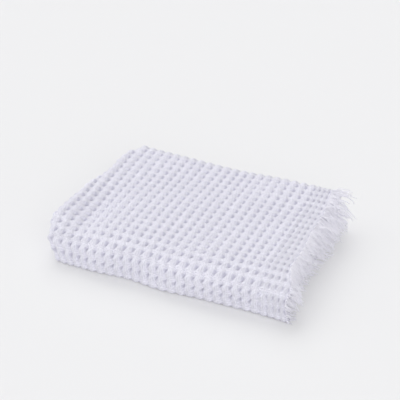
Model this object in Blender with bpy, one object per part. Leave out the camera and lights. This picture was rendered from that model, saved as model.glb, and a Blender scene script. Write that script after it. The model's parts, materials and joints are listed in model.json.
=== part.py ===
"""A waffle-weave cotton throw, folded in four along its length and in four across its width.

The frame: origin at the middle of the underside, +X along the folded length towards the fringe,
+Y towards the back, +Z up. All sizes are in metres.

The cloth is one sheet with a yarn fringe on both short ends. It is folded twice along its length,
which makes a panel of four plies: ply a and ply b end in a fringe on the right, and plies b2 and a2
turn back there. On the left, a turns into a2 round the outside and b into b2 inside it. The long
panel is then folded twice across its width: at the back, and last at the front, where the outer
panels wrap round the inner ones. So a stack holds four panels and sixteen plies.

The last fold opens like a book about the front crease, with the two upper panels as its cover.
"""

import math

import bmesh
import bpy
from mathutils import Vector

# Driving dimensions
FOLDED_LENGTH = 0.402  # from the left bend to the sewn end of the top ply
FOLDED_DEPTH = 0.315  # from the front fold's outside to the back fold's outside
CLOTH_THICKNESS = 0.0037  # one ply, from ridge to ridge
PLY_GAP = 0.0004  # air between two plies that lie on each other
FRINGE_LENGTH = 0.040
FRINGE_THINNER = 0.0007  # how much thinner the fringe is than the ply that it leaves
HEM_THINNER = 0.0001  # how much thinner the stitched roll at the yarn ends is than the ply
TURN_SETBACK = 0.006  # how far the turned plies stop short of the sewn ends
SELVEDGE_SETBACK = 0.003  # how far the lower panels stop short of the back fold
FRINGE_DROOP = 0.35  # the share of its height that a fringe tip loses

# Clearances
SEAT_GAP = 0.0003  # between pieces of cloth that join on the real throw

# Smoothness
BEND_SEGMENTS = 6  # of a half turn in a panel's section
FOLD_STEPS = 8  # of a half turn about a crease
HEM_SIDES = 8
FRINGE_STATIONS = 4

# What follows from the driving dimensions
PLIES_PER_PANEL = 4
PLY_PITCH = CLOTH_THICKNESS + PLY_GAP
FRINGE_THICKNESS = CLOTH_THICKNESS - FRINGE_THINNER
HEM_DIAMETER = CLOTH_THICKNESS - HEM_THINNER
PANEL_HEIGHT = PLIES_PER_PANEL * PLY_PITCH
STACK_HEIGHT = 4 * PANEL_HEIGHT - PLY_GAP
TOTAL_LENGTH = FOLDED_LENGTH + HEM_DIAMETER + FRINGE_LENGTH + 2 * SEAT_GAP
LEFT = -TOTAL_LENGTH / 2
SEWN_END = LEFT + FOLDED_LENGTH
HEM_CENTRE = SEWN_END + SEAT_GAP + HEM_DIAMETER / 2
FRINGE_START = HEM_CENTRE + HEM_DIAMETER / 2 + SEAT_GAP
FRONT_CREASE = -FOLDED_DEPTH / 2 + STACK_HEIGHT / 2
BACK_CREASE = FOLDED_DEPTH / 2 - PANEL_HEIGHT + PLY_GAP / 2
SELVEDGE = FOLDED_DEPTH / 2 - SELVEDGE_SETBACK
CREASE = Vector((0.0, FRONT_CREASE, STACK_HEIGHT / 2))  # a point on the hinge's axis
PANEL_START = SEAT_GAP  # from the front crease to the panels' front edges

WHITE = (0.86, 0.86, 0.90)
HEM_WHITE = (0.88, 0.88, 0.91)
FRINGE_WHITE = (0.89, 0.89, 0.92)


def ply_height(number):
    """The height of a ply's middle over a crease, for ply 1, 2, 3... counted from the crease."""
    return (number - 0.5) * PLY_PITCH


def half_turn(centre_x, from_height, to_height, to_left):
    """Points and outward normals of a half turn that joins two plies."""
    middle, radius = (from_height + to_height) / 2, (from_height - to_height) / 2
    side = -1.0 if to_left else 1.0
    made = []
    for step in range(BEND_SEGMENTS + 1):
        angle = math.pi * step / BEND_SEGMENTS
        across, up = side * math.sin(angle) * abs(radius), math.cos(angle) * radius
        made.append((centre_x + across, middle + up, side * math.sin(angle), math.cos(angle)))
    sign = math.copysign(1.0, radius)
    return [(x, z, nx, nz * sign) for x, z, nx, nz in made]


def panel_section(a, b, b2, a2):
    """The closed outline of four plies in the X-Z plane: one sheet, three half turns.

    It runs left along a, round the left end into a2, right to the turn, left along b2, round
    inside the left end into b, and right to the other sewn end. The arguments are the plies' heights.
    """
    half = CLOTH_THICKNESS / 2
    left_centre = LEFT + 1.5 * PLY_PITCH + half
    right_centre = SEWN_END - TURN_SETBACK - PLY_PITCH / 2 - half
    outer = math.copysign(1.0, a - a2)
    path = [(SEWN_END, a, 0.0, outer)]
    path += half_turn(left_centre, a, a2, to_left=True)
    path += half_turn(right_centre, a2, b2, to_left=False)
    turned = half_turn(left_centre, b2, b, to_left=True)
    # Inside the turn at the right, the sheet's outer face becomes the one that b2 shows to a2.
    path += [(x, z, -nx, -nz) for x, z, nx, nz in turned]
    path.append((SEWN_END, b, 0.0, -math.copysign(1.0, b - b2)))
    one_side = [(x + nx * half, z + nz * half) for x, z, nx, nz in path]
    other_side = [(x - nx * half, z - nz * half) for x, z, nx, nz in path]
    return one_side + other_side[::-1]


def hem_section(height):
    """A round roll at the sewn end of a ply."""
    radius = HEM_DIAMETER / 2
    turns = [2 * math.pi * (side + 0.5) / HEM_SIDES for side in range(HEM_SIDES)]
    return [(HEM_CENTRE + radius * math.cos(t), height + radius * math.sin(t)) for t in turns]


def fringe_section(height):
    """A flat band of yarn ends, with stations along it so that it can droop."""
    half = FRINGE_THICKNESS / 2
    xs = [FRINGE_START + FRINGE_LENGTH * n / FRINGE_STATIONS for n in range(FRINGE_STATIONS + 1)]
    return [(x, height - half) for x in xs] + [(x, height + half) for x in reversed(xs)]


def start_face(outline):
    made = bmesh.new()
    verts = [made.verts.new((x, 0.0, z)) for x, z in outline]
    return made, made.faces.new(verts)


def extruded(outline, start, end):
    """A closed solid: the outline carried along Y from start to end."""
    made, face = start_face(outline)
    bmesh.ops.translate(made, verts=made.verts, vec=(0.0, start, 0.0))
    moved = bmesh.ops.extrude_face_region(made, geom=[face])["geom"]
    verts = [item for item in moved if isinstance(item, bmesh.types.BMVert)]
    bmesh.ops.translate(made, verts=verts, vec=(0.0, end - start, 0.0))
    return made


def folded(outline, towards_back):
    """A closed solid: the outline turned by half a turn about the X axis, from its upper side."""
    made, face = start_face(outline)
    bmesh.ops.spin(
        made,
        geom=[face, *face.edges, *face.verts],
        cent=(0.0, 0.0, 0.0),
        axis=(1.0, 0.0, 0.0),
        angle=-math.pi if towards_back else math.pi,
        steps=FOLD_STEPS,
    )
    return made


def droop(made, axis_height):
    """Lowers a fringe towards its tips: each height over the ground shrinks with the square of the reach."""
    for vert in made.verts:
        reach = max(0.0, (vert.co.x - FRINGE_START) / FRINGE_LENGTH)
        ground = axis_height + vert.co.z
        vert.co.z = ground * (1.0 - FRINGE_DROOP * reach * reach) - axis_height


def finish(name, made, place, parent, colour, roughness):
    """Makes the object of a mesh, with its origin on its crease, its parent and its own material."""
    bmesh.ops.recalc_face_normals(made, faces=made.faces)
    mesh = bpy.data.meshes.new(name)
    made.to_mesh(mesh)
    made.free()
    mesh.shade_smooth()
    mesh.set_sharp_from_angle(angle=math.radians(35))
    material = bpy.data.materials.new(name)
    material.use_nodes = True
    shader = material.node_tree.nodes["Principled BSDF"]
    shader.inputs["Base Color"].default_value = (*colour, 1.0)
    shader.inputs["Roughness"].default_value = roughness
    shader.inputs["Metallic"].default_value = 0.0
    mesh.materials.append(material)
    obj = bpy.data.objects.new(name, mesh)
    bpy.context.scene.collection.objects.link(obj)
    obj.parent = parent
    obj.location = place - parent.location
    return obj


def stack_half(name, place):
    """An empty that carries one half of the stack."""
    empty = bpy.data.objects.new(name, None)
    empty.location = place
    bpy.context.scene.collection.objects.link(empty)
    return empty


def cloth(name, made, place, parent):
    finish(name, made, place, parent, WHITE, 0.95)


def sewn_ends(where, ply_heights, solid_of, place, parent):
    """The hem and the fringe at the sewn ends of plies a and b, over one panel or round one fold."""
    for ply, height in zip("ab", ply_heights):
        hem = solid_of(hem_section(height))
        finish(f"hem_{ply}_{where}", hem, place, parent, HEM_WHITE, 0.9)
        fringe = solid_of(fringe_section(height))
        droop(fringe, place.z)
        finish(f"fringe_{ply}_{where}", fringe, place, parent, FRINGE_WHITE, 0.9)


def panel(where, sign, plies, length, parent):
    """One flat panel of four plies with its sewn ends. plies counts a, b, b2 and a2 from the crease."""
    heights = [sign * ply_height(number) for number in plies]

    def along(outline):
        return extruded(outline, PANEL_START, length)

    cloth(f"panel_{where}", along(panel_section(*heights)), CREASE, parent)
    sewn_ends(where, heights[:2], along, CREASE, parent)


def fold(where, plies, place, towards_back, parent):
    """The bend that joins two panels, with its sewn ends."""
    heights = [ply_height(number) for number in plies]

    def around(outline):
        return folded(outline, towards_back)

    cloth(f"fold_{where}", around(panel_section(*heights)), place, parent)
    sewn_ends(where, heights[:2], around, place, parent)


def main():
    for obj in list(bpy.data.objects):
        bpy.data.objects.remove(obj)

    lower = stack_half("lower_half", Vector((0.0, 0.0, 0.0)))
    upper = stack_half("upper_half", CREASE)

    outer_plies, inner_plies = (8, 7, 6, 5), (1, 2, 3, 4)
    to_back_fold = BACK_CREASE - FRONT_CREASE - SEAT_GAP
    to_selvedge = SELVEDGE - FRONT_CREASE
    panel("top", 1, outer_plies, to_back_fold, upper)
    panel("upper_middle", 1, inner_plies, to_back_fold, upper)
    panel("lower_middle", -1, inner_plies, to_selvedge, lower)
    panel("bottom", -1, outer_plies, to_selvedge, lower)

    back_crease = Vector((0.0, BACK_CREASE, CREASE.z + PANEL_HEIGHT))
    fold("back", (4, 3, 2, 1), back_crease, True, upper)
    fold("front_inner", inner_plies, CREASE, False, lower)
    fold("front_outer", outer_plies, CREASE, False, lower)


main()
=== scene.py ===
"""The looks of a folded waffle-weave cotton throw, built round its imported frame.

The throw is one cloth. A point on it has two coordinates in metres: u runs along the cloth from
sewn end a to sewn end b, and v runs across it from selvedge to selvedge. Folding carries (u, v) to
a place: u goes along a ply, round the left bend and back, four plies deep, and v goes along the
bottom panel, round the front, over the top panel, round the back, and through the two middle
panels. Every piece of cloth is a patch of that one surface, so patches meet without a step.
"""

import json
import logging
import math
from dataclasses import dataclass
from enum import Enum
from functools import cached_property
from typing import ClassVar

import bpy
import numpy as np
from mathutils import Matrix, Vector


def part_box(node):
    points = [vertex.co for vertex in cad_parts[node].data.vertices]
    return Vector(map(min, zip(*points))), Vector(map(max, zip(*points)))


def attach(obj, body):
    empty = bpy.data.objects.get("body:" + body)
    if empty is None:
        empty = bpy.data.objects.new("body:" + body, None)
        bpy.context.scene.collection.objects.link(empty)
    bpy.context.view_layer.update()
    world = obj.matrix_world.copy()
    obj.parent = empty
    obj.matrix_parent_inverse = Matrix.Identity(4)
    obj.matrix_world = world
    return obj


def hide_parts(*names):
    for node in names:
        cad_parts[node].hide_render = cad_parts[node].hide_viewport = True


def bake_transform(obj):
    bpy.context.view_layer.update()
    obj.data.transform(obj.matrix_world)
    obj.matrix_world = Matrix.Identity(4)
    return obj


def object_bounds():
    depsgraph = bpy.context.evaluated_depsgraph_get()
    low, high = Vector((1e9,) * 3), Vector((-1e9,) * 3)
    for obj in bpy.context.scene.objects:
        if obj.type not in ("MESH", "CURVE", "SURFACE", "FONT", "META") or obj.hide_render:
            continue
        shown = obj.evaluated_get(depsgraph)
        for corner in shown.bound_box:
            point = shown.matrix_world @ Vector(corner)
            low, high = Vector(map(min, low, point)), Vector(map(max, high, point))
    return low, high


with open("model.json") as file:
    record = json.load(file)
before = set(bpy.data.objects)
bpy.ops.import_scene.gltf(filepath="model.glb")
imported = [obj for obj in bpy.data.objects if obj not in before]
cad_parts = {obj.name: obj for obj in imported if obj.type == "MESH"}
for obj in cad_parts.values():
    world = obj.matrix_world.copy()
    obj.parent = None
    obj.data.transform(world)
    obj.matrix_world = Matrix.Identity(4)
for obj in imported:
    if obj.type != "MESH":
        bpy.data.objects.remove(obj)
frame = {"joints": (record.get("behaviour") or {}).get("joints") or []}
CAD_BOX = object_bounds()

Array = np.ndarray
LOG = logging.getLogger("throw")

LOWER, UPPER = "lower_half", "upper_half"
FLOOR_GAP = 0.0003  # the lowest point of any piece, in metres
FLOOR_PRESS = (-0.0005, 0.0040)  # heights over it within which woven cloth is pressed flat
YARN_CEILING = 0.0740  # no loose yarn stands higher


# ---------------------------------------------------------------- numbers and waves


def smooth(x: Array, low: float, high: float) -> Array:
    """Rises from 0 at low to 1 at high, as 3t^2 - 2t^3 of the share t of the way.

    Args:
        x: The values.
        low: Where the rise starts.
        high: Where it ends.

    Returns:
        The shares, from 0 to 1.
    """
    share = np.clip((np.asarray(x, float) - low) / (high - low), 0.0, 1.0)
    return share * share * (3.0 - 2.0 * share)


def bump_at(x: Array, centre: float, width: float) -> Array:
    """A soft hill of height 1: exp of minus the squared distance from centre, in widths."""
    return np.exp(-(((np.asarray(x, float) - centre) / width) ** 2))


def waves(x: Array, y: Array, length: float, seed: int, count: int = 6) -> Array:
    """A gentle random surface: the mean of sine waves that run in random directions.

    Args:
        x: First coordinate, in metres.
        y: Second coordinate, in metres.
        length: The mean wavelength, in metres.
        seed: Which random surface.
        count: How many waves are added.

    Returns:
        Heights of about -1 to 1.
    """
    draw = np.random.default_rng(seed)
    turn, phase = draw.uniform(0, 2 * math.pi, (2, count))
    rate = 2 * math.pi / (length * draw.uniform(0.7, 1.5, count))
    along = np.asarray(x)[..., None] * np.cos(turn) + np.asarray(y)[..., None] * np.sin(turn)
    return np.sin(along * rate + phase).sum(-1) / math.sqrt(count)


def cell_draw(col: Array, row: Array, seed: float) -> Array:
    """One number from -1 to 1 for each whole (col, row): the fraction of a large sine."""
    value = np.sin(col * 12.9898 + row * 78.233 + seed * 37.719) * 43758.5453
    return 2.0 * (value - np.floor(value)) - 1.0


def unit(vectors: Array) -> Array:
    """The vectors at length 1."""
    return vectors / np.maximum(np.linalg.norm(vectors, axis=-1, keepdims=True), 1e-12)


# ---------------------------------------------------------------- the weave


@dataclass(frozen=True)
class Weave:
    """The waffle relief. Pits lie where both cell coordinates are whole numbers.

    The ridges along the cloth's width stand highest and look like chains, because the long floats
    bulge beside each pit and pinch where the cross ridges tie them down.
    """

    pitch: float = 0.016
    peak: float = 0.0028  # top of a chain ridge over the ply's middle
    depth: float = 0.0080  # from there down to the bottom of a pit
    fullness: float = 1.15  # how full a ridge's section is
    cross_height: float = 0.60  # a cross ridge's share of a chain ridge's height
    give: float = 0.70  # the share of that lost where the cloth is pulled round a fold
    joining: float = 5.0  # power of the mean that joins the two ridges
    knob: float = 0.27  # how far a chain thins between its links
    lean: float = 0.45  # how far the links of one side lie from those of the other
    zigzag: float = 0.11  # of the columns, in cells
    drift: float = 0.05  # slow wandering of columns and rows, in cells
    unevenness: float = 0.20  # of the pits' depths
    end_columns: tuple[float, ...] = (-0.0065, 0.0035, 0.0130, 0.0230, 0.0330)  # from the sewn end
    first_column: float = 0.1459  # puts the even columns in step with those by the sewn end
    first_row: float = 0.0519  # puts a row of ridges along the front edge of the top
    front_rows: float = 0.80  # rows to a pitch round the front fold
    bearing: float = 0.25  # share of the relief left where the cloth bears on the floor
    bound: float = 0.50  # share of the relief left at the sewn end

    def relief(self, col: Array, row: Array, pulled: Array) -> Array:
        """The height over the ply's middle, in metres.

        A chain ridge is a round cord: 1 - (1 - |sin(pi du)|)^p. A cross ridge has the same form
        in dv and is lower. The higher of the two shows, joined by a power mean. The chain thins
        by knob (1 - cos(2 pi (dv - lean side))) / 2, so that each link bulges beside its pit.

        Args:
            col: Cell coordinate along the cloth's length.
            row: Cell coordinate along the cloth's width.
            pulled: How far the cloth is pulled round a fold, from 0 to 1. The cross ridges give way.

        Returns:
            Heights, from about peak down to peak - depth.
        """
        col = col + self.zigzag * np.sin(2 * math.pi * row) + self.drift * waves(col, row, 7.0, 11)
        row = row + self.drift * waves(col, row, 6.0, 12)
        i, j = np.round(col), np.round(row)
        du, dv = col - i, row - j
        across, along = np.abs(np.sin(math.pi * du)), np.abs(np.sin(math.pi * dv))
        own = 1.0 + self.unevenness * cell_draw(i, j, 1.0) * (1.0 - across) * (1.0 - along)
        chain = 1.0 - (1.0 - across) ** self.fullness
        cross = self.cross_height * (1.0 - self.give * pulled) * (1.0 - (1.0 - along) ** self.fullness)
        high = (chain**self.joining + cross**self.joining) ** (1.0 / self.joining)
        side = np.sign(du) * (0.5 - np.abs(du))
        links = 0.5 - 0.5 * np.cos(2 * math.pi * (dv - self.lean * side))
        height = np.minimum(high, 1.0) - 1.0 - self.knob * links * across**2
        return self.peak + self.depth * own * height


# ---------------------------------------------------------------- the folding


class Ply(Enum):
    """The two plies that end in a fringe. The value is the ply's place over its panel's middle."""

    A = 1.5
    B = 0.5


@dataclass(frozen=True)
class Folding:
    """Carries cloth coordinates to places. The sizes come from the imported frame."""

    PLIES_UP: ClassVar[float] = 7.95  # ply pitches from the last fold's crease up to the top face

    pitch: float  # from one ply's middle to the next
    crease_y: float
    crease_z: float
    back_y: float
    selvedge_y: float
    left: float
    sewn: float
    turn_setback: float = 0.008  # how far the inner turn stops short of the sewn end
    bend_inset: float = 0.0015  # how far the left bend lies inside the frame's box
    askew: float = 0.0105  # how much further in its rear half lies
    askew_back: float = 0.020  # and its back corner, once more
    askew_front: float = 0.014  # and its front corner
    askew_below: float = 0.45  # the lower half's share of askew and askew_back
    ragged: float = 0.0035  # waviness of the left bend
    uneven_end: float = 0.0042  # waviness of the sewn ends
    end_inset_a: float = 0.002  # how far sewn end a lies inside the frame's box
    end_inset_b: float = 0.004  # and sewn end b

    @classmethod
    def of_frame(cls) -> "Folding":
        """Reads the creases and the plies from the frame's boxes and joint."""
        joint = frame["joints"][0]["pos_m"]
        top_low, top_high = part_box("panel_top")
        return cls(
            pitch=(CAD_BOX[1].z - joint[2]) / cls.PLIES_UP,
            crease_y=joint[1],
            crease_z=joint[2],
            back_y=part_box("fold_back")[0].y,
            selvedge_y=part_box("panel_bottom")[1].y,
            left=top_low.x,
            sewn=top_high.x,
        )

    # -- across the cloth

    @property
    def knots(self) -> Array:
        """Where v passes from one region to the next: seven regions, eight knots."""
        long_run, run = self.selvedge_y - self.crease_y, self.back_y - self.crease_y
        turn = math.pi * self.pitch
        steps = [long_run, 6 * turn, run, 2 * turn, run, 2 * turn, long_run]
        return np.concatenate([[0.0], np.cumsum(steps)])

    def fold_path(self, v: Array, over: Array) -> tuple[Array, Array]:
        """Where a ply lies across the cloth: straight along panels, half turns at folds.

        Args:
            v: Across the cloth, along the panels' middle.
            over: Height over the panel's middle towards ply a, in metres.

        Returns:
            The y and z of each point.
        """
        k, t = self.knots, self.pitch
        front = (v - k[1]) / (6 * t)
        back = (v - k[3]) / (2 * t)
        inner = (v - k[5]) / (2 * t)
        cy, cz = self.crease_y, self.crease_z
        where = [v < k[1], v < k[2], v < k[3], v < k[4], v < k[5], v < k[6]]
        y = np.select(
            where,
            [
                self.selvedge_y - v,
                cy - (6 * t + over) * np.sin(front),
                cy + v - k[2],
                self.back_y + (2 * t + over) * np.sin(back),
                self.back_y - (v - k[4]),
                cy - (2 * t - over) * np.sin(inner),
            ],
            cy + v - k[6],
        )
        z = np.select(
            where,
            [
                cz - 6 * t - over,
                cz - (6 * t + over) * np.cos(front),
                cz + 6 * t + over,
                cz + 4 * t + (2 * t + over) * np.cos(back),
                cz + 2 * t - over,
                cz + (2 * t - over) * np.cos(inner),
            ],
            cz - 2 * t + over,
        )
        return y, z

    # -- along the cloth

    def left_centre(self, v: Array) -> Array:
        """The x of the left bend's centre. It runs askew, further in at the back, less so below."""
        k = self.knots
        y, _ = self.fold_path(v, np.zeros_like(v))
        askew = self.askew * smooth(y, -0.045, 0.045) + self.askew_back * smooth(y, 0.092, 0.156)
        lower = (v < k[1]) | (v > k[4])
        front = self.askew_front * smooth(-y, 0.10, 0.152)
        ragged = self.ragged * np.sin(v * 11.0 + 1.0)
        upright = self.left + 1.5 * self.pitch + self.bend_inset
        return upright + np.where(lower, self.askew_below, 1.0) * askew + front + ragged

    def sewn_end(self, v: Array, ply: Ply) -> Array:
        """The x of the cloth's sewn end. Plies don't end quite flush."""
        phase, inset = (0.6, self.end_inset_a) if ply is Ply.A else (2.4, self.end_inset_b)
        k = self.knots
        calm = smooth(v, k[2] - 0.03, k[2] + 0.05) * (1.0 - smooth(v, k[3] - 0.03, k[3] + 0.02))
        shift = self.uneven_end * np.sin(v * 9.0 + phase) - inset
        return self.sewn + shift * (1.0 - calm * (ply is Ply.A))

    def section(self, u: Array, v: Array) -> tuple[Array, Array]:
        """Where a point lies in a panel's cross-section.

        From sewn end a the cloth runs left along ply a, round the left bend into a2, right to the
        turn, left along b2, round inside the left bend into b, and right to sewn end b.

        Args:
            u: Along the cloth, from sewn end a.
            v: Across the cloth.

        Returns:
            The x, and the height over the panel's middle towards ply a.
        """
        t = self.pitch
        _, k1, k2, k3, k4, k5, k6, _ = self.marks(v)
        end = self.sewn_end(v, Ply.A)
        left, right = end - k1, self.sewn - self.turn_setback - t
        outer, turn, inner = (u - k1) / (1.5 * t), (u - k3) / (0.5 * t), (u - k5) / (0.5 * t)
        where = [u < k1, u < k2, u < k3, u < k4, u < k5, u < k6]
        x = np.select(
            where,
            [
                end - u,
                left - 1.5 * t * np.sin(outer),
                left + u - k2,
                right + 0.5 * t * np.sin(turn),
                right - (u - k4),
                left - 0.5 * t * np.sin(inner),
            ],
            left + u - k6,
        )
        over = np.select(
            where,
            [
                np.full_like(u, 1.5 * t),
                1.5 * t * np.cos(outer),
                np.full_like(u, -1.5 * t),
                -t - 0.5 * t * np.cos(turn),
                np.full_like(u, -0.5 * t),
                -0.5 * t * np.cos(inner),
            ],
            0.5 * t,
        )
        return x, over

    def marks(self, v: Array) -> Array:
        """The u at sewn end a, at the ends of each half turn, and at sewn end b.

        Args:
            v: Across the cloth.

        Returns:
            Eight arrays, stacked, with one value for each v.
        """
        t = self.pitch
        left, right = self.left_centre(v), self.sewn - self.turn_setback - t
        run_a = self.sewn_end(v, Ply.A) - left
        run_b = self.sewn_end(v, Ply.B) - left
        bend, turn = np.full_like(v, math.pi * 1.5 * t), np.full_like(v, math.pi * 0.5 * t)
        steps = [np.zeros_like(v), run_a, bend, right - left, turn, right - left, turn, run_b]
        return np.cumsum(np.stack(steps), axis=0)


@dataclass(frozen=True)
class Settling:
    """How the soft stack settles: the squared-off folding sinks at its edges and swells at its ends."""

    folding: Folding
    sink: float = 0.30  # share of the upper half's height that is lost at the front
    bend_swell: float = 0.0048
    end_swell: float = 0.0010
    valley: float = 0.0105
    slow_wave: float = 0.0014
    back_rise: float = 0.0010  # all along the back, and more towards its two corners
    right_rise: float = 0.0042
    left_rise: float = 0.0028
    puff: float = 0.0024  # waviness of the front face
    lean: float = 0.004  # of the top towards the back
    sway: float = 0.0024  # waviness of the two ends
    drawn_corner: float = 0.013  # how far the front left corner is drawn in at the floor
    flare_out: float = 0.006  # how far the sewn end stands out at flare_y
    flare_y: float = 0.019
    flare_slope: float = 0.050  # how much further out it goes for each metre towards the front
    flare_corner: float = 0.019  # and at the front corner, once more
    front_share: float = 0.77  # depth of the front fold as a share of half its height
    undercut: float = 0.03  # and how much less at the floor
    round_above: float = 2.25  # power of the front face's rounding over the middle plane
    round_below: float = 16.0  # and under it

    def settle(self, x: Array, y: Array, z: Array) -> tuple[Array, Array, Array]:
        """Moves ideal places to settled ones.

        Above the middle plane the height shrinks towards the front, so the top slopes off, and
        rises a little at the back. The ends swell, a shallow valley lies beside the left bend, and
        slow waves run over it. The front face, the two ends and the corners aren't quite straight.

        Args:
            x: Ideal places.
            y: Ideal places.
            z: Ideal places.

        Returns:
            The settled x, y and z.
        """
        f = self.folding
        middle = f.crease_z
        y, z = self.square_front(y, z)
        sink = self.sink * smooth(-y, 0.095, 0.135)
        above = np.clip((z - middle) / middle, 0.0, 1.2)
        swell = self.bend_swell * bump_at(x, f.left + 0.016, 0.026) + self.end_swell * smooth(x, 0.11, 0.17)
        valley = self.valley * bump_at(x, f.left + 0.052, 0.024) * bump_at(y, -0.075, 0.075)
        slow = self.slow_wave * waves(x, y, 0.17, 5)
        corners = self.right_rise * smooth(x, -0.02, 0.10) + self.left_rise * smooth(-x, 0.10, 0.20)
        rise = (self.back_rise + corners) * smooth(y, 0.07, 0.14)
        height = np.where(z > middle, middle + (z - middle) * (1.0 - sink), z)
        height = height + above * (swell - valley + slow + rise) * (1.0 - sink)
        puff = self.puff * waves(x, z, 0.12, 8) * smooth(-y, 0.125, 0.150)
        lean = self.lean * smooth(y, 0.08, 0.15) * above
        aside = self.sway * waves(y, z * 2.0, 0.10, 9) * (smooth(-x, 0.17, 0.22) + smooth(x, 0.14, 0.19))
        corner = self.drawn_corner * smooth(-y, 0.100, 0.150) * smooth(-x, 0.12, 0.21)
        corner = corner * (1.0 - smooth(z, -0.010, 0.046))
        return x + self.flare(x, y) + aside + corner, y - puff + lean, height

    def flare(self, x: Array, y: Array) -> Array:
        """How far the sewn end slants out towards the front, fading to nothing along the cloth."""
        slant = self.flare_out - self.flare_slope * (y - self.flare_y)
        return (slant + self.flare_corner * smooth(-y, 0.085, 0.142)) * smooth(x, 0.05, 0.185)

    def square_front(self, y: Array, z: Array) -> tuple[Array, Array]:
        """Presses the round front fold into a blunt one that stands on the floor.

        Ahead of the crease, places move out along their radius from the circle |a|^2 + |b|^2 = r^2
        to |a|^n + |b|^n = r^n, with a larger n below. Depths shrink to a share, a little less below.

        Args:
            y: Ideal places.
            z: Ideal places.

        Returns:
            The blunted y and z.
        """
        f = self.folding
        ahead = np.clip((f.crease_y - y) / f.crease_z, 0.0, None)
        up = (z - f.crease_z) / f.crease_z
        power = np.where(up > 0.0, self.round_above, self.round_below)
        depth = f.crease_z * (self.front_share - self.undercut * np.clip(-up, 0.0, None) ** 1.5)
        round_norm = np.hypot(ahead, up)
        blunt_norm = (ahead**power + np.abs(up) ** power) ** (1.0 / power)
        push = round_norm / np.maximum(blunt_norm, 1e-6)
        is_ahead = ahead > 0.0
        y = np.where(is_ahead, f.crease_y - ahead * push * depth, y)
        z = np.where(is_ahead, f.crease_z + up * push * f.crease_z, z)
        return y, z


@dataclass
class Cloth:
    """The whole folded cloth as one surface of (u, v)."""

    folding: Folding
    settling: Settling
    weave: Weave

    def middle(self, u: Array, v: Array) -> Array:
        """The places of the ply's middle, without relief."""
        x, over = self.folding.section(u, v)
        y, z = self.folding.fold_path(v, over)
        return np.stack(self.settling.settle(x, y, z), axis=-1)

    @cached_property
    def row_table(self) -> tuple[Array, Array]:
        """Values of v, and the settled length along ply a from the top panel's start at each."""
        f = self.folding
        v = np.linspace(0.0, f.knots[-1], 3000)
        places = self.middle(np.full_like(v, 0.2), v)
        length = np.concatenate([[0.0], np.cumsum(np.linalg.norm(np.diff(places[:, 1:], axis=0), axis=1))])
        return v, length - np.interp(f.knots[2], v, length)

    def outward(self, u: Array, v: Array) -> Array:
        """The unit normals of the middle surface, which on ply a point out of the stack.

        They are the cross product of the central differences over u and v.
        """
        step = 0.0004
        by_u = self.middle(u + step, v) - self.middle(u - step, v)
        by_v = self.middle(u, v + step) - self.middle(u, v - step)
        return unit(np.cross(by_v, by_u))

    def cells(self, u: Array, v: Array) -> tuple[Array, Array]:
        """Cell coordinates: columns along the cloth, and rows of ply a's own settled length.

        Columns keep an even pitch in the settled x. The first ones by the sewn end are woven
        tighter, and round the front fold the rows are drawn a little longer.
        """
        weave = self.weave
        x, over = self.folding.section(u, v)
        y, _ = self.folding.fold_path(v, over)
        drift = self.folding.sewn_end(v, Ply.A) + self.settling.flare(x, y)
        tight = np.array(weave.end_columns)
        number = np.arange(tight.size) - 1.0
        even = (tight - tight[-1]) / weave.pitch + number[-1]
        squeeze = np.interp(u, tight, number - even)
        col = (u - drift + weave.first_column) / weave.pitch + number[-1] + squeeze
        rows = np.interp(v, *self.row_table)
        drawn = np.where(rows < 0.0, rows * weave.front_rows, rows)
        return col, (drawn + self.folding.crease_y + weave.first_row) / weave.pitch

    def surface(self, u: Array, v: Array, share: float, lift: float) -> Array:
        """The places of the woven face. Where the cloth bears on the floor its relief is pressed flat.

        Args:
            u: Along the cloth.
            v: Across the cloth.
            share: How much of the relief shows, from 0 to 1. Pressed plies show less.
            lift: An even offset outwards, in metres.

        Returns:
            Places, with the relief laid along the normals.
        """
        col, row = self.cells(u, v)
        middle = self.middle(u, v)
        weave = self.weave
        pressed = weave.bearing + (1.0 - weave.bearing) * smooth(middle[..., 2], 0.0022, 0.0075)
        tight = weave.bound + (1.0 - weave.bound) * smooth(np.abs(u), 0.016, 0.040)
        pulled = smooth(-middle[..., 1], 0.124, 0.148)
        height = weave.relief(col, row, pulled) * share * pressed * tight + lift
        places = middle + self.outward(u, v) * height[..., None]
        above = np.maximum(places[..., 2] - FLOOR_GAP, 0.0)
        places[..., 2] = FLOOR_GAP + above * smooth(above, *FLOOR_PRESS)
        return places


# ---------------------------------------------------------------- meshes


def grid_faces(rows: int, columns: int, closed: bool = False) -> Array:
    """The quads of a grid of points stored row by row.

    Args:
        rows: Points along the first parameter.
        columns: Points along the second parameter.
        closed: Whether the second parameter comes round to its start.

    Returns:
        An array of four point numbers for each quad.
    """
    i = np.arange(rows - 1)[:, None]
    j = np.arange(columns if closed else columns - 1)[None, :]
    after = (j + 1) % columns
    quads = [i * columns + j, i * columns + after, (i + 1) * columns + after, (i + 1) * columns + j]
    return np.stack([np.broadcast_to(q, (rows - 1, j.shape[1])) for q in quads], -1).reshape(-1, 4)


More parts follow.
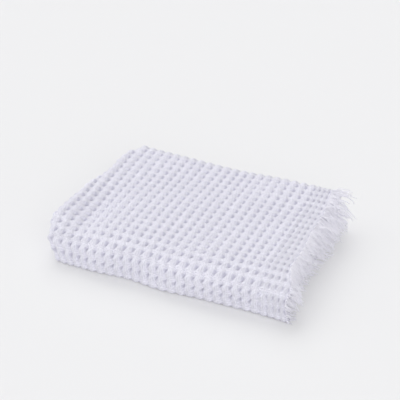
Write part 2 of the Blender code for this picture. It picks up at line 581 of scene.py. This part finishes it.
def make_piece(
    name: str, points: Array, faces: Array | list, uv: Array, normals: Array | None = None
) -> bpy.types.Object:
    """Makes an object at the origin from arrays of points, faces and one UV pair for each point.

    Args:
        name: The piece's name.
        points: Places, in metres.
        faces: Point numbers, as an array of quads or a list of polygons.
        uv: One (u, v) for each point.
        normals: One unit normal for each point, where the faces alone don't give them.

    Returns:
        The object, shaded smooth.
    """
    mesh = bpy.data.meshes.new(name)
    mesh.from_pydata(points.reshape(-1, 3), [], faces if isinstance(faces, list) else faces.tolist())
    layer = mesh.uv_layers.new(name="cloth")
    corner = np.empty(len(mesh.loops), np.int32)
    mesh.loops.foreach_get("vertex_index", corner)
    layer.data.foreach_set("uv", uv.reshape(-1, 2)[corner].astype(np.float32).ravel())
    mesh.shade_smooth()
    if normals is not None:
        mesh.normals_split_custom_set_from_vertices(normals.reshape(-1, 3))
    piece = bpy.data.objects.new(name, mesh)
    bpy.context.scene.collection.objects.link(piece)
    return piece


def tube_grid(path: Array, first: Array, second: Array, radius: Array, sides: int) -> Array:
    """Rings of points round a path.

    Args:
        path: Ring centres, (..., stations, 3).
        first: Unit vectors across the path.
        second: Unit vectors across the path, square to first.
        radius: Radii, (..., stations, sides).
        sides: Points in a ring.

    Returns:
        Places, (..., stations, sides, 3): centre + radius (first cos + second sin).
    """
    turn = 2 * math.pi * np.arange(sides) / sides
    ring = first[..., None, :] * np.cos(turn)[:, None] + second[..., None, :] * np.sin(turn)[:, None]
    return path[..., None, :] + ring * radius[..., None]


# ---------------------------------------------------------------- shader maths


@dataclass
class Signal:
    """A node socket that takes part in Python expressions. Each operation adds a Math node."""

    tree: bpy.types.NodeTree
    socket: bpy.types.NodeSocket

    def maths(self, operation: str, *others: "Signal | float") -> "Signal":
        """One Math node on this socket and the others."""
        node = self.tree.nodes.new("ShaderNodeMath")
        node.operation = operation
        for place, value in zip(node.inputs, (self, *others)):
            if isinstance(value, Signal):
                self.tree.links.new(value.socket, place)
            else:
                place.default_value = value
        return Signal(self.tree, node.outputs[0])

    def __add__(self, other: "Signal | float") -> "Signal":
        """Sum."""
        return self.maths("ADD", other)

    def __sub__(self, other: "Signal | float") -> "Signal":
        """Difference."""
        return self.maths("SUBTRACT", other)

    def __rsub__(self, other: float) -> "Signal":
        """Difference from a number."""
        return self.maths("MULTIPLY", -1.0).maths("ADD", other)

    def __mul__(self, other: "Signal | float") -> "Signal":
        """Product."""
        return self.maths("MULTIPLY", other)

    def sine(self) -> "Signal":
        """The sine of an angle in radians."""
        return self.maths("SINE")

    def size(self) -> "Signal":
        """The absolute value."""
        return self.maths("ABSOLUTE")

    def over(self, low: float, high: float) -> "Signal":
        """Rises from 0 to 1 between low and high, evenly, and stays there."""
        share = (self - low) * (1.0 / (high - low))
        return share.maths("MAXIMUM", 0.0).maths("MINIMUM", 1.0)

    def saw(self) -> "Signal":
        """The distance from the nearest whole number, from -0.5 to 0.5."""
        return (self + 0.5).maths("FRACT") - 0.5


@dataclass
class ShaderSheet:
    """A material's nodes, with one method that adds any node."""

    material: bpy.types.Material

    @classmethod
    def new(cls, name: str) -> "ShaderSheet":
        """An empty material that uses nodes."""
        material = bpy.data.materials.new(name)
        material.use_nodes = True
        material.node_tree.nodes.clear()
        return cls(material)

    def add(self, kind: str, settings: dict, inputs: dict) -> bpy.types.Node:
        """Adds a node.

        Args:
            kind: The node's type.
            settings: Its own settings, set first.
            inputs: Socket names or numbers, with a value or a Signal each.

        Returns:
            The node.
        """
        tree = self.material.node_tree
        node = tree.nodes.new(kind)
        for key, value in settings.items():
            setattr(node, key, value)
        for key, value in inputs.items():
            if isinstance(value, Signal):
                tree.links.new(value.socket, node.inputs[key])
            else:
                node.inputs[key].default_value = value
        return node

    def signal(self, node: bpy.types.Node, output: str | int = 0) -> Signal:
        """One of a node's outputs as a Signal."""
        return Signal(self.material.node_tree, node.outputs[output])

    def mix_colour(self, share: Signal, first: Signal | tuple, second: tuple) -> Signal:
        """A colour between two, by share. The first may vary."""
        start = first if isinstance(first, Signal) else (*first, 1.0)
        inputs = {0: share, 6: start, 7: (*second, 1.0)}
        return self.signal(self.add("ShaderNodeMix", {"data_type": "RGBA"}, inputs), 2)

    def axes(self, source: Signal) -> tuple[Signal, Signal]:
        """The first two numbers of a vector."""
        node = self.add("ShaderNodeSeparateXYZ", {}, {0: source})
        return self.signal(node, 0), self.signal(node, 1)

    def noise(self, place: Signal, scale: float, detail: float) -> Signal:
        """Cloudy noise from 0 to 1, with so many clouds to a metre."""
        inputs = {"Vector": place, "Scale": scale, "Detail": detail}
        return self.signal(self.add("ShaderNodeTexNoise", {}, inputs))

    def finish(self, colour: Signal | tuple, inputs: dict) -> bpy.types.Material:
        """Adds the surface shader and the output.

        Args:
            colour: The base colour.
            inputs: The shader's other inputs.

        Returns:
            The finished material.
        """
        shader = self.add("ShaderNodeBsdfPrincipled", {}, {"Base Color": colour, **inputs})
        self.add("ShaderNodeOutputMaterial", {}, {"Surface": self.signal(shader)})
        return self.material


@dataclass(frozen=True)
class WovenFinish:
    """White cotton waffle cloth, with painted shade in the middle of each pit. UV counts cells, so the
    yarns follow the weave.

    Beside a chain ridge the yarns run across the cloth, beside a cross ridge along it, and the
    line between them is the cell's diagonal, as the floats of a waffle weave lie.
    """

    name: str = "waffle_cotton"
    light: tuple[float, float, float] = (0.784, 0.777, 0.850)
    shade: tuple[float, float, float] = (0.648, 0.640, 0.730)
    # painted shade: the darker colour that the middle of each pit takes, for the shade that falls in it
    pit_shade: tuple[float, float, float] = (0.550, 0.542, 0.636)
    yarns_per_cell: float = 5.0
    twists_per_cell: float = 3.0
    roughness: float = 0.92
    sheen: float = 0.25
    yarn_height: float = 0.0009
    fuzz_scale: float = 900.0
    blotch_scale: float = 26.0

    def make(self) -> bpy.types.Material:
        """Builds the material."""
        sheet = ShaderSheet.new(self.name)
        coordinates = sheet.add("ShaderNodeTexCoord", {}, {})
        col, row = sheet.axes(sheet.signal(coordinates, "UV"))
        du, dv = col.saw(), row.saw()
        upright = (du.size() - dv.size()).over(-0.03, 0.03)
        turn = 2 * math.pi * self.yarns_per_cell
        twist = 2 * math.pi * self.twists_per_cell
        across = (col * turn).sine() * 0.5 + (col * turn * 0.5 + row * twist).sine() * 0.22
        along = (row * turn).sine() * 0.5 + (row * turn * 0.5 + col * twist).sine() * 0.22
        yarns = across * upright + along * (1.0 - upright) + 0.5
        place = sheet.signal(coordinates, "Object")
        fuzz = sheet.noise(place, self.fuzz_scale, 3.0)
        blotch = sheet.noise(place, self.blotch_scale, 2.0)
        # painted shade: this mask darkens each pit's middle towards the darker pit colour, standing in for
        # the shade in the hollows
        pit = (0.26 - du.size()).over(0.0, 0.20) * (0.30 - dv.size()).over(0.0, 0.20)
        relief = {"Height": yarns + fuzz * 0.8, "Distance": self.yarn_height, "Strength": 0.9}
        bump = sheet.add("ShaderNodeBump", {}, relief)
        tone = (yarns * 0.4 + fuzz * 0.35 + blotch * 0.4).over(0.0, 0.85)
        cloth = sheet.mix_colour(tone, self.shade, self.light)
        colour = sheet.mix_colour(pit * 0.9, cloth, self.pit_shade)
        inputs = {
            "Roughness": self.roughness,
            "Sheen Weight": self.sheen,
            "Sheen Roughness": 0.5,
            "Specular IOR Level": 0.15,
            "Normal": sheet.signal(bump),
        }
        return sheet.finish(colour, inputs)


@dataclass(frozen=True)
class YarnFinish:
    """Loose or bound cotton yarn. UV runs once round the yarn and counts twists along it."""

    name: str
    light: tuple[float, float, float] = (0.965, 0.955, 1.0)
    shade: tuple[float, float, float] = (0.72, 0.71, 0.805)
    plies: float = 2.0
    roughness: float = 0.9
    sheen: float = 0.2
    twist_height: float = 0.0004
    fuzz_scale: float = 1400.0

    def make(self) -> bpy.types.Material:
        """Builds the material."""
        sheet = ShaderSheet.new(self.name)
        coordinates = sheet.add("ShaderNodeTexCoord", {}, {})
        around, along = sheet.axes(sheet.signal(coordinates, "UV"))
        strand = ((around * self.plies + along) * (2 * math.pi)).sine() * 0.5 + 0.5
        fuzz = sheet.noise(sheet.signal(coordinates, "Object"), self.fuzz_scale, 2.0)
        relief = {"Height": strand + fuzz * 0.5, "Distance": self.twist_height, "Strength": 0.8}
        bump = sheet.add("ShaderNodeBump", {}, relief)
        colour = sheet.mix_colour((strand * 0.6 + fuzz * 0.5).over(0.1, 0.8), self.shade, self.light)
        inputs = {
            "Roughness": self.roughness,
            "Sheen Weight": self.sheen,
            "Specular IOR Level": 0.15,
            "Normal": sheet.signal(bump),
        }
        return sheet.finish(colour, inputs)


@dataclass(frozen=True)
class FloorFinish:
    """A plain pale backdrop."""

    name: str = "backdrop"
    colour: tuple[float, float, float] = (0.732, 0.732, 0.735)

    def make(self) -> bpy.types.Material:
        """Builds the material."""
        matt = {"Roughness": 1.0, "Specular IOR Level": 0.0}
        return ShaderSheet.new(self.name).finish((*self.colour, 1.0), matt)


# ---------------------------------------------------------------- the throw's pieces


class Region(Enum):
    """The seven regions across the cloth: the name that ends its CAD nodes' names, and its number."""

    BOTTOM = ("bottom", 0)
    FRONT_OUTER = ("front_outer", 1)
    TOP = ("top", 2)
    BACK = ("back", 3)
    UPPER_MIDDLE = ("upper_middle", 4)
    FRONT_INNER = ("front_inner", 5)
    LOWER_MIDDLE = ("lower_middle", 6)

    @property
    def label(self) -> str:
        """The region's name."""
        return self.value[0]

    @property
    def number(self) -> int:
        """The region's place among the knots."""
        return self.value[1]

    @property
    def cad_node(self) -> str:
        """The cloth node that the region's cover stands for."""
        kind = "fold" if self in (Region.BACK, Region.FRONT_OUTER, Region.FRONT_INNER) else "panel"
        return f"{kind}_{self.label}"


@dataclass(frozen=True)
class Edge:
    """Where a patch begins or ends along the cloth: so far past one of the folding's marks."""

    mark: int
    beyond: float = 0.0


@dataclass(frozen=True)
class Cut:
    """Sizes of the cloth patches, in metres."""

    under_reach: float = 0.030  # how far a cover goes on under its panel past the left bend
    inner_reach: float = 0.036  # how far in the inner plies' ends are made
    selvedge: float = 0.030
    selvedge_inset: float = 0.004
    inner_half: float = 0.0011  # half the thickness of an inner ply
    inner_share: float = 0.30  # how much of the relief shows on it
    inner_fine: float = 5.0
    inner_gap: float = 0.0024  # how far it stops short of the last fold's crease


@dataclass(frozen=True)
class HemRoll:
    """The bound roll along a sewn end, in metres."""

    radius: float = 0.0015
    strand_bulge: float = 0.30
    twist_length: float = 0.0160
    step: float = 0.0011  # between rings
    out: float = 0.0006  # its middle, past the sewn end
    sides: int = 12
    gap: float = 0.0012  # how far it stops short of the last fold's crease


@dataclass(frozen=True)
class YarnCut:
    """How the loose yarns of a fringe grow, in metres."""

    close: float = 0.00120  # spacing where the yarns show on top
    spaced: float = 0.0032  # and elsewhere
    scatter: float = 0.25  # of the roots, in spacings
    margin: float = 0.0004  # from the ends of the region, and past the sewn end
    lift: float = 0.0009  # of ply a's roots
    gap: float = 0.0020  # how far the roots stop short of the last fold's crease
    lock: float = 0.0075  # width of a lock of yarns
    lock_less: float = 0.0040  # how much narrower on top
    length: float = 0.0130  # at the floor
    length_high: float = 0.0115  # more at the top
    length_back: float = 0.0095  # more at the back, under the top ply
    length_curl: float = 0.009  # more in the back fold
    parted: float = 0.0055  # how far the yarns part beside the tuft
    stray: float = 0.0014
    ripple: float = 0.0006
    thick_close: float = 0.00075  # radius where the yarns show on top
    thick: float = 0.00095  # and elsewhere
    stations: int = 9
    sides: int = 5
    twists: float = 14.0


@dataclass(frozen=True)
class Roots:
    """Where the yarns of one fringe start, and how far each belongs to a part of the fringe."""

    v: Array
    place: Array
    top: Array
    corner: Array
    tuft: Array
    front: Array


UPPER_REGIONS = (Region.TOP, Region.BACK, Region.UPPER_MIDDLE)
FRONT_REGIONS = (Region.FRONT_OUTER, Region.FRONT_INNER)


@dataclass
class Throw:
    """The folded throw: its covers, inner plies, selvedges, hems and fringes."""

    folding: Folding
    weave: Weave = Weave()
    cut: Cut = Cut()
    roll: HemRoll = HemRoll()
    yarn: YarnCut = YarnCut()

    def __post_init__(self) -> None:
        """Joins the folding, the settling and the weave, and makes the finishes."""
        self.cloth = Cloth(self.folding, Settling(self.folding), self.weave)
        self.finishes = {
            "waffle_cloth": WovenFinish().make(),
            # painted shade: the hem roll's colours are darker than the cloth's white cotton, so the raised
            # roll that catches the lamps shows no brighter than the cloth
            "hem_stitch": YarnFinish("bound_yarn", (0.665, 0.655, 0.735), (0.54, 0.53, 0.61)).make(),
            "fringe_yarn": YarnFinish("loose_yarn", plies=1.0).make(),
        }

    def attach(self, piece: bpy.types.Object, region: Region, slot: str, nodes: list[str]) -> None:
        """Gives a piece its finish and hides the CAD nodes that it stands for. Upper and lower pieces go to
        their half's body; front pieces are only baked in place.

        Args:
            piece: The piece, in place.
            region: Where across the cloth it lies.
            slot: The record's material slot.
            nodes: CAD nodes that it replaces.
        """
        piece.data.materials.append(self.finishes[slot])
        f = self.folding
        if region in FRONT_REGIONS:
            inner = region is Region.FRONT_INNER
            reach = 0.0016 if inner else 0.0170
            low = f.crease_z - (reach if inner else f.crease_z - 0.006)
            f.crease_z + reach
            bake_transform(piece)
        else:
            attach(piece, UPPER if region in UPPER_REGIONS else LOWER)
        if nodes:
            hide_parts(*nodes)
        LOG.info("%s: %d faces", piece.name, len(piece.data.polygons))

    def grid(
        self, region: Region, first: Edge, last: Edge, fine: float, part: tuple[float, float] = (0.0, 1.0)
    ) -> tuple[Array, Array]:
        """A (u, v) grid over a region, with about fine points to a cell each way.

        Args:
            region: Where across the cloth.
            first: Where the patch starts along the cloth.
            last: Where it ends.
            fine: Points to a cell.
            part: The patch's shares of the region's width.

        Returns:
            The u and the v of each point.
        """
        k = self.folding.knots[region.number : region.number + 2]
        step = self.weave.pitch / fine
        ends = k[0] + np.array(part) * (k[1] - k[0])
        vs = np.linspace(*ends, max(3, round((ends[1] - ends[0]) / step) + 1))
        marks = self.folding.marks(vs)
        low, high = marks[first.mark] + first.beyond, marks[last.mark] + last.beyond
        usual = self.folding.marks(self.folding.knots[2:3])[:, 0]
        reach = usual[last.mark] + last.beyond - usual[first.mark] - first.beyond
        share = np.linspace(0.0, 1.0, max(3, round(reach / step) + 1))[:, None]
        return low + (high - low) * share, np.broadcast_to(vs, (share.size, vs.size))

    def flat_size(self, u: Array, v: Array) -> tuple[float, float]:
        """A patch's size laid flat: its mean length across the cloth, and its reach along it."""
        _, over = self.folding.section(u, v)
        y, z = self.folding.fold_path(v, over)
        across = np.hypot(np.diff(y, axis=1), np.diff(z, axis=1)).sum(1).mean()
        return float(across), float((u[-1] - u[0]).mean())

    def cover(self, region: Region, fine: float, share: float) -> bpy.types.Object:
        """The outside of a region: ply a, the left bend, and the start of a2 under it.

        Args:
            region: Where across the cloth.
            fine: Points to a cell.
            share: How much of the relief shows.

        Returns:
            The piece.
        """
        last = Edge(3) if region is Region.FRONT_INNER else Edge(2, self.cut.under_reach)
        u, v = self.grid(region, Edge(0), last, fine)
        points = self.cloth.surface(u, v, share, 0.0)
        near = 0.5 * self.weave.pitch / fine
        by_u = self.cloth.surface(u + near, v, share, 0.0) - self.cloth.surface(u - near, v, share, 0.0)
        by_v = self.cloth.surface(u, v + near, share, 0.0) - self.cloth.surface(u, v - near, share, 0.0)
        normals = unit(np.cross(by_v, by_u))
        uv = np.stack(self.cloth.cells(u, v), -1)
        piece = make_piece(f"cover_{region.label}", points, grid_faces(*u.shape), uv, normals)
        self.attach(piece, region, "waffle_cloth", [region.cad_node])
        edging = [part for ply in Ply for part in (self.hem(region, ply), self.fringe(region, ply))]
        self.flat_size(u, v)
        return piece

    def slab(
        self, name: str, region: Region, first: Edge, last: Edge, part: tuple[float, float] = (0.0, 1.0)
    ) -> bpy.types.Object:
        """A patch of an inner ply, with both faces and closed edges.

        Args:
            name: The piece's name.
            region: Where across the cloth.
            first: Where it starts along the cloth.
            last: Where it ends.
            part: Its shares of the region's width.

        Returns:
            The piece: two surfaces joined all round.
        """
        cut = self.cut
        u, v = self.grid(region, first, last, cut.inner_fine, part)
        outer = self.cloth.surface(u, v, cut.inner_share, cut.inner_half)
        under = self.cloth.surface(u, v, cut.inner_share, -cut.inner_half)
        rows, columns = u.shape
        count = rows * columns
        quads = grid_faces(rows, columns)
        index = np.arange(count).reshape(rows, columns)
        rim = np.concatenate([index[0], index[1:, -1], index[-1, -2::-1], index[-2:0:-1, 0]])
        after = np.roll(rim, -1)
        walls = np.stack([rim, rim + count, after + count, after], -1)
        faces = np.concatenate([quads, quads[:, ::-1] + count, walls])
        points = np.concatenate([outer.reshape(-1, 3), under.reshape(-1, 3)])
        uv = np.stack(self.cloth.cells(u, v), -1).reshape(-1, 2)
        piece = make_piece(name, points, faces, np.concatenate([uv, uv]))
        self.attach(piece, region, "waffle_cloth", [])
        self.flat_size(u, v)
        return piece

    def span(self, region: Region, gap: float) -> tuple[float, float]:
        """A region's first and last v. A panel stops short of the last fold's crease by gap."""
        low, high = self.folding.knots[region.number : region.number + 2]
        low += gap * (region in (Region.TOP, Region.LOWER_MIDDLE))
        high -= gap * (region in (Region.BOTTOM, Region.UPPER_MIDDLE))
        return low, high

    def inner_plies(self, region: Region) -> None:
        """The ends of the inner plies that show at the right: ply b's end, and the turn of a2 into b2."""
        reach = self.cut.inner_reach
        k = self.folding.knots[region.number : region.number + 2]
        part = tuple((end - k[0]) / (k[1] - k[0]) for end in self.span(region, self.cut.inner_gap))
        self.slab(f"turn_{region.label}", region, Edge(3, -reach), Edge(4, reach), part)
        self.slab(f"ply_b_{region.label}", region, Edge(7, -reach), Edge(7), part)

    def selvedge(self, region: Region) -> None:
        """The woven edge at the open back of a lower panel, over all four plies."""
        k, inset = self.folding.knots, self.cut.selvedge_inset
        part = self.cut.selvedge / (k[region.number + 1] - k[region.number])
        shares = (0.0, part) if region is Region.BOTTOM else (1.0 - part, 1.0)
        self.slab(f"selvedge_{region.label}", region, Edge(0, inset), Edge(7, -inset), shares)

    # -- sewn ends

    def hem_line(self, ply: Ply, vs: Array, out: float) -> tuple[Array, Array]:
        """The places and outward normals of points just past a sewn end.

        Args:
            ply: Which of the two sewn plies.
            vs: Across the cloth.
            out: How far past the sewn end.

        Returns:
            The places, and a unit normal for each.
        """
        end = self.folding.sewn_end(vs, ply) + out
        over = np.full_like(vs, ply.value * self.folding.pitch)

        def place(raised: float) -> Array:
            """The settled places, raised off the ply's middle."""
            y, z = self.folding.fold_path(vs, over + raised)
            return np.stack(self.cloth.settling.settle(end, y, z), -1)

        return place(0.0), unit(place(0.001) - place(-0.001))

    def hem(self, region: Region, ply: Ply) -> bpy.types.Object:
        """The bound roll along a sewn end: a round cord with two twisted strands in its surface."""
        roll, (low, high) = self.roll, self.span(region, self.roll.gap)
        count, sides = max(8, round((high - low) / roll.step)), roll.sides
        vs = np.linspace(low, high, count)
        here, normal = self.hem_line(ply, vs, roll.out)
        along = unit(np.gradient(here, axis=0))
        side = unit(np.cross(normal, along))
        turns = vs[:, None] / roll.twist_length
        angle = 2 * math.pi * np.arange(sides) / sides
        radius = roll.radius * (1.0 + roll.strand_bulge * np.cos(2 * (angle - math.pi * turns)))
        points = tube_grid(here, side, normal, radius, sides)
        points[..., 2] = np.maximum(points[..., 2], FLOOR_GAP)
        faces = grid_faces(count, sides, closed=True).tolist()
        faces += [list(range(sides - 1, -1, -1)), list(range((count - 1) * sides, count * sides))]
        uv = np.stack(np.broadcast_arrays(angle / (2 * math.pi), turns), -1)
        piece = make_piece(f"roll_{ply.name.lower()}_{region.label}", points, faces, uv)
        self.attach(piece, region, "hem_stitch", [f"hem_{ply.name.lower()}_{region.label}"])
        return piece

    def roots(self, region: Region, ply: Ply, draw: np.random.Generator) -> Roots:
        """Where the yarns of a fringe leave the hem, with a scatter of their own.

        Args:
            region: Where across the cloth.
            ply: Which of the two sewn plies.
            draw: The fringe's random numbers.

        Returns:
            The roots.
        """
        yarn, knots = self.yarn, self.folding.knots
        low, high = self.span(region, yarn.gap)
        outer = ply is Ply.A
        spacing = yarn.close if region is Region.TOP and outer else yarn.spaced
        count = max(3, round((high - low) / spacing))
        v = np.linspace(low, high, count, endpoint=False) + spacing / 2
        v = v + draw.normal(0.0, spacing * yarn.scatter, count)
        v = np.clip(v, low + yarn.margin, high - yarn.margin)
        place, normal = self.hem_line(ply, v, yarn.margin)
        place = place + yarn.lift * normal * outer
        before_back = 1.0 - smooth(v, knots[4] - 0.02, knots[4])
        return Roots(
            v=v,
            place=place,
            top=smooth(place[:, 2], 0.052, 0.062) * outer,
            corner=smooth(v, knots[3] - 0.060, knots[3] - 0.025) * before_back,
            tuft=bump_at(v, knots[3] - 0.003, 0.009) * outer,
            front=smooth(-place[:, 1], 0.118, 0.150),
        )

    def yarn_paths(self, roots: Roots, seed: int, draw: np.random.Generator) -> Array:
        """The yarns' paths. Each leaves its root at a first dip and bends to a last one.

        The dip goes from one to the other with the power 0.8 of the share of the length, and with
        2.2 at the back corner. Yarns gather into locks, part beside the tuft, and ripple.

        Args:
            roots: Where they start.
            seed: Which locks.
            draw: The fringe's random numbers.

        Returns:
            Places, (yarns, stations, 3).
        """
        yarn, knots = self.yarn, self.folding.knots
        v, here, top, count = roots.v, roots.place, roots.top, roots.v.size
        share = np.linspace(0.0, 1.0, yarn.stations)
        lock = yarn.lock - yarn.lock_less * top
        wander = 0.3 * np.sin(v * 90.0)
        home = (np.round(v / lock + wander) - wander) * lock
        own = cell_draw(np.round(home * 1000.0), np.full(count, float(seed)), 2.0)

        def vary(mean: Array | float, each: float, shared: float) -> Array:
            """A mean with a spread for each yarn and one for each lock, both smaller on top."""
            return mean + (1.0 - 0.55 * top) * (each * draw.normal(0.0, 1.0, count) + shared * own)

        high = yarn.length_high * smooth(here[:, 2], 0.0, 0.058)
        usual = yarn.length + high + yarn.length_back * smooth(here[:, 1], -0.03, 0.08) * (1.0 - top)
        curl = smooth(v, knots[3] - 0.012, knots[3] + 0.006) * (1.0 - smooth(v, knots[4] - 0.02, knots[4]))
        length = (usual + yarn.length_curl * curl) * (1.0 - 0.45 * roots.front) * (1.0 - 0.32 * roots.tuft)
        length = length * vary(1.0, 0.15, 0.16)
        first_dip = vary(0.05 + 0.20 * top - 0.30 * roots.corner - 0.15 * roots.tuft, 0.22, 0.40)
        last_dip = vary(0.50 + 0.75 * top + 0.20 * roots.corner - 1.00 * roots.tuft, 0.25, 0.45)
        bending = share ** (0.8 + 1.4 * roots.corner[:, None])
        dip = first_dip[:, None] + (last_dip - first_dip)[:, None] * bending
        step = length[:, None] / (yarn.stations - 1)
        out = np.cumsum(np.cos(dip) * step, axis=1) - np.cos(dip[:, :1]) * step
        down = np.cumsum(np.sin(dip) * step, axis=1) - np.sin(dip[:, :1]) * step
        parting = v - (knots[3] - 0.052)
        parted = yarn.parted * np.sign(parting) * bump_at(parting, 0.0, 0.009) * top
        aside = (home - v) * (0.95 - 0.55 * top) + parted + yarn.stray * draw.normal(0.0, 1.0, count)
        along_hem = unit(np.gradient(here, axis=0))
        wave = yarn.ripple * draw.normal(0.0, 1.0, (count, 1))
        wave = wave * np.sin(share * 7.0 + draw.uniform(0, 6, (count, 1)))
        path = here[:, None, :] + along_hem[:, None, :] * (aside[:, None] * share**0.8 + wave)[..., None]
        path[..., 0] += out
        path[..., 2] += wave * 0.6 - down
        return path

    def fringe(self, region: Region, ply: Ply) -> bpy.types.Object:
        """The loose yarn ends past a hem, each a thin tube of its own.

        On the top ply the yarns are close and hang down. Lower down they gather into locks that
        splay. At the back corner of the top they arch, and a tuft there stands up. None goes under
        the floor.

        Args:
            region: Where across the cloth.
            ply: Which of the two sewn plies.

        Returns:
            The piece.
        """
        yarn = self.yarn
        stations, sides = yarn.stations, yarn.sides
        seed = 100 + 10 * region.number + (ply is Ply.B)
        draw = np.random.default_rng(seed)
        path = self.yarn_paths(self.roots(region, ply, draw), seed, draw)
        count = len(path)
        share = np.linspace(0.0, 1.0, stations)
        radius = yarn.thick_close if region is Region.TOP and ply is Ply.A else yarn.thick
        thick = radius * (1.0 - 0.25 * share) * (1.0 + 0.1 * draw.normal(0.0, 1.0, (count, 1)))
        path[..., 2] = np.clip(path[..., 2], 0.0012 + 0.0006 * draw.random((count, 1)), YARN_CEILING)
        along = unit(np.gradient(path, axis=1))
        first = unit(np.cross(along, np.array([0.0, 0.0, 1.0])))
        second = np.cross(along, first)
        points = tube_grid(path, first, second, np.repeat(thick[..., None], sides, -1), sides)
        ring = grid_faces(stations, sides, closed=True)
        caps = np.stack([np.arange(sides - 1, -1, -1), np.arange((stations - 1) * sides, stations * sides)])
        first_point = np.arange(count)[:, None, None] * (stations * sides)
        faces = (ring[None] + first_point).reshape(-1, 4).tolist()
        faces += (caps[None] + first_point).reshape(-1, sides).tolist()
        angle = np.broadcast_to(np.arange(sides) / sides, (count, stations, sides))
        turns = np.broadcast_to((share * yarn.twists)[None, :, None], (count, stations, sides))
        name = f"{ply.name.lower()}_{region.label}"
        piece = make_piece(f"yarns_{name}", points, faces, np.stack([angle, turns], -1))
        self.attach(piece, region, "fringe_yarn", [f"fringe_{name}"])
        return piece

    def build(self) -> None:
        """Builds every piece, region by region."""
        finesse = {
            Region.TOP: (13.0, 1.0),
            Region.FRONT_OUTER: (13.0, 1.0),
            Region.BACK: (13.0, 1.0),
            Region.BOTTOM: (7.0, 0.6),
            Region.UPPER_MIDDLE: (8.0, 0.75),
            Region.LOWER_MIDDLE: (8.0, 0.75),
            Region.FRONT_INNER: (7.0, 0.5),
        }
        for region in Region:
            self.cover(region, *finesse[region])
            self.inner_plies(region)
        for region in (Region.BOTTOM, Region.LOWER_MIDDLE):
            self.selvedge(region)


# ---------------------------------------------------------------- the studio


@dataclass(frozen=True)
class Lamp:
    """A wide far-off lamp: the direction it comes from, its power, and its width in degrees."""

    name: str
    direction: tuple[float, float, float]
    power: float
    width: float
    shadow: bool

    def hang(self) -> None:
        """Adds the lamp to the scene."""
        lamp = bpy.data.lights.new(self.name, "SUN")
        lamp.energy = self.power
        lamp.angle = math.radians(self.width)
        lamp.use_shadow = self.shadow
        holder = bpy.data.objects.new(self.name, lamp)
        x, y, z = self.direction
        holder.rotation_euler = (math.atan2(math.hypot(x, y), z), 0.0, math.atan2(y, x) + math.pi / 2)
        bpy.context.scene.collection.objects.link(holder)


@dataclass(frozen=True)
class Studio:
    """A pale floor, soft light from all round, five wide lamps, and the camera."""

    aim: tuple[float, float, float] = (0.0075, -0.0283, 0.1066)
    azimuth: float = 24.64
    elevation: float = 32.07
    distance: float = 2.2688
    lens: float = 125.6
    surround: float = 0.50
    lamps: tuple[Lamp, ...] = (
        Lamp("key", (-1.00, -0.25, 0.75), 1.20, 40.0, False),
        Lamp("key_shade", (-1.00, -0.10, 0.80), 0.25, 50.0, True),
        Lamp("fill", (0.90, -1.00, 0.50), 1.10, 60.0, False),
        Lamp("fill_shade", (0.90, -1.00, 0.50), 0.42, 60.0, True),
        Lamp("top", (-0.42, 0.78, 1.00), 1.12, 50.0, True),
    )

    def camera(self) -> None:
        """A camera at its distance from the aim, level, looking at it."""
        data = bpy.data.cameras.new("camera")
        data.lens = self.lens
        data.sensor_width = 36.0
        data.clip_end = 50.0
        camera = bpy.data.objects.new("camera", data)
        turn, rise = math.radians(self.azimuth), math.radians(self.elevation)
        back = np.array([math.sin(turn) * math.cos(rise), -math.cos(turn) * math.cos(rise), math.sin(rise)])
        camera.location = np.array(self.aim) + back * self.distance
        camera.rotation_euler = (math.pi / 2 - rise, 0.0, turn)
        bpy.context.scene.collection.objects.link(camera)
        bpy.context.scene.camera = camera

    def floor(self) -> None:
        """A wide flat floor under the throw."""
        side = 12.0
        corners = np.array([[-side, -side, 0], [side, -side, 0], [side, side, 0], [-side, side, 0]])
        floor = make_piece("floor", corners, [[0, 1, 2, 3]], corners[:, :2])
        floor.data.materials.append(FloorFinish().make())

    def lights(self) -> None:
        """An even surround, and wide lamps from the left, from the front right and from the back."""
        world = bpy.data.worlds.new("surround")
        world.use_nodes = True
        background = world.node_tree.nodes["Background"]
        background.inputs["Color"].default_value = (0.98, 0.98, 1.0, 1.0)
        background.inputs["Strength"].default_value = self.surround
        bpy.context.scene.world = world
        for lamp in self.lamps:
            lamp.hang()

    def build(self) -> None:
        """Sets the studio up."""
        self.camera()
        self.floor()
        self.lights()
        bpy.context.scene.view_settings.view_transform = "Standard"


def main() -> None:
    """Builds the studio and the throw."""
    logging.basicConfig(level=logging.INFO, format="%(message)s")
    Studio().build()
    Throw(Folding.of_frame()).build()


if __name__ == "__main__":
    main()
